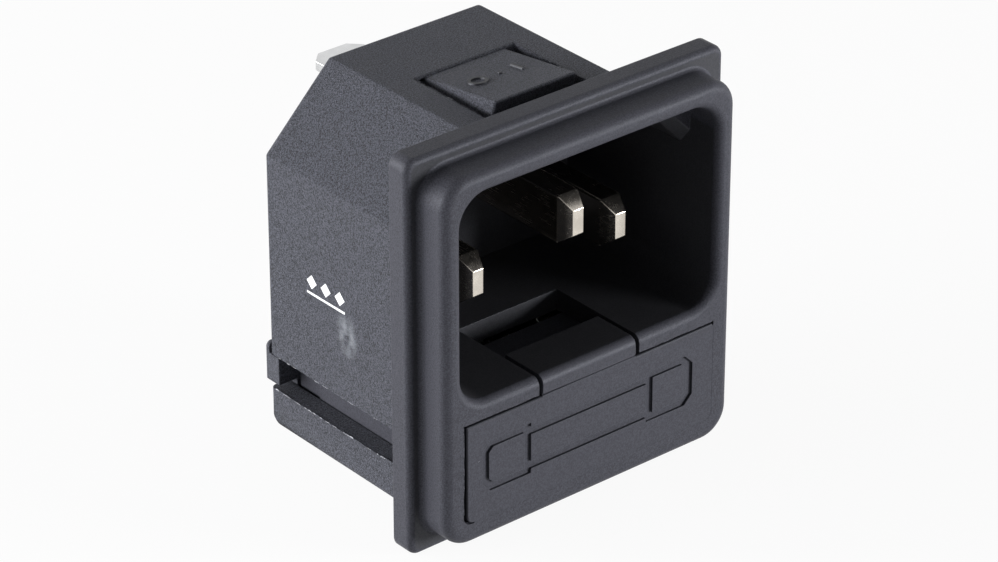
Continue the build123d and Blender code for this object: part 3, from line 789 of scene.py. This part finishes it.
def show_white(tree, lit, white, output, share=1.0):
    """Shows white instead of lit, by a share, to rays of the camera, gloss and glass."""
    path = tree.nodes.new("ShaderNodeLightPath")
    seen = path.outputs["Is Camera Ray"]
    for kind in ("Is Glossy Ray", "Is Transmission Ray"):
        either = tree.nodes.new("ShaderNodeMath")
        either.operation = "ADD"
        either.use_clamp = True
        tree.links.new(seen, either.inputs[0])
        tree.links.new(path.outputs[kind], either.inputs[1])
        seen = either.outputs["Value"]
    part = tree.nodes.new("ShaderNodeMath")
    part.operation = "MULTIPLY"
    part.inputs[1].default_value = share
    tree.links.new(seen, part.inputs[0])
    blend = tree.nodes.new("ShaderNodeMixShader")
    tree.links.new(part.outputs["Value"], blend.inputs["Fac"])
    tree.links.new(lit.outputs[0], blend.inputs[1])
    tree.links.new(white.outputs[0], blend.inputs[2])
    tree.links.new(blend.outputs[0], output.inputs["Surface"])


def stage_material():
    """A matte floor that the camera, gloss and glass see as white, with a soft shadow left."""
    made = bpy.data.materials.new("pale_floor")
    made.use_nodes = True
    tree = made.node_tree
    tree.nodes.clear()
    output = tree.nodes.new("ShaderNodeOutputMaterial")
    matte = tree.nodes.new("ShaderNodeBsdfDiffuse")
    matte.inputs["Color"].default_value = (*FLOOR_TONE, 1.0)
    white = tree.nodes.new("ShaderNodeEmission")
    show_white(tree, matte, white, output, share=1 - FLOOR_LIT)
    return made


def make_floor():
    """A wide pale floor at the height of the flange's lowest edge."""
    mesh = bmesh.new()
    bmesh.ops.create_grid(mesh, x_segments=4, y_segments=4, size=FLOOR_HALF)
    data = bpy.data.meshes.new("floor")
    mesh.to_mesh(data)
    mesh.free()
    floor = bpy.data.objects.new("floor", data)
    floor.location.z = cad_box[0].z
    data.materials.append(stage_material())
    bpy.context.scene.collection.objects.link(floor)


def make_world():
    """Even sky light, seen as white by the camera, by gloss and through glass."""
    world = bpy.data.worlds.new("studio")
    bpy.context.scene.world = world
    world.use_nodes = True
    tree = world.node_tree
    tree.nodes.clear()
    output = tree.nodes.new("ShaderNodeOutputWorld")
    light = tree.nodes.new("ShaderNodeBackground")
    light.inputs["Color"].default_value = (*SKY_TONE, 1.0)
    light.inputs["Strength"].default_value = SKY_LEVEL
    white = tree.nodes.new("ShaderNodeBackground")
    white.inputs["Color"].default_value = (1.0, 1.0, 1.0, 1.0)
    white.inputs["Strength"].default_value = 1.0
    show_white(tree, light, white, output)


def direction(azimuth, elevation):
    """The unit vector that points from the part towards a viewer at those angles."""
    return Vector((math.sin(azimuth) * math.cos(elevation),
                   -math.cos(azimuth) * math.cos(elevation),
                   math.sin(elevation)))


def soft_box(name, azimuth, elevation, size, power):
    """A square studio lamp that faces the part."""
    lamp = bpy.data.lights.new(name, "AREA")
    lamp.shape = "SQUARE"
    lamp.size = size
    lamp.energy = power
    made = bpy.data.objects.new(name, lamp)
    towards = direction(math.radians(azimuth), math.radians(elevation))
    made.location = towards * LAMP_DISTANCE
    made.rotation_mode = "QUATERNION"
    made.rotation_quaternion = (-towards).to_track_quat("-Z", "Y")
    bpy.context.scene.collection.objects.link(made)


def make_camera():
    """The camera of the photograph, in the part's frame."""
    data = bpy.data.cameras.new("camera")
    data.sensor_width = SENSOR
    data.lens = SENSOR * FOCAL_PIXELS / IMAGE_WIDTH
    data.clip_start = 0.01
    data.clip_end = 20.0
    camera = bpy.data.objects.new("camera", data)
    back = direction(CAMERA_AZIMUTH, CAMERA_ELEVATION)
    camera.location = CAMERA_TARGET + back * CAMERA_DISTANCE
    camera.rotation_mode = "QUATERNION"
    camera.rotation_quaternion = (-back).to_track_quat("-Z", "Y")
    bpy.context.scene.collection.objects.link(camera)
    bpy.context.scene.camera = camera


make_camera()
make_floor()
make_world()
soft_box("rear_left_soft_box", azimuth=-140, elevation=5, size=0.3, power=3.4)
soft_box("left_soft_box", azimuth=-110, elevation=5, size=0.3, power=4.3)
soft_box("front_soft_box", azimuth=38, elevation=3, size=0.16, power=4.9)
bpy.context.scene.view_settings.view_transform = "Standard"
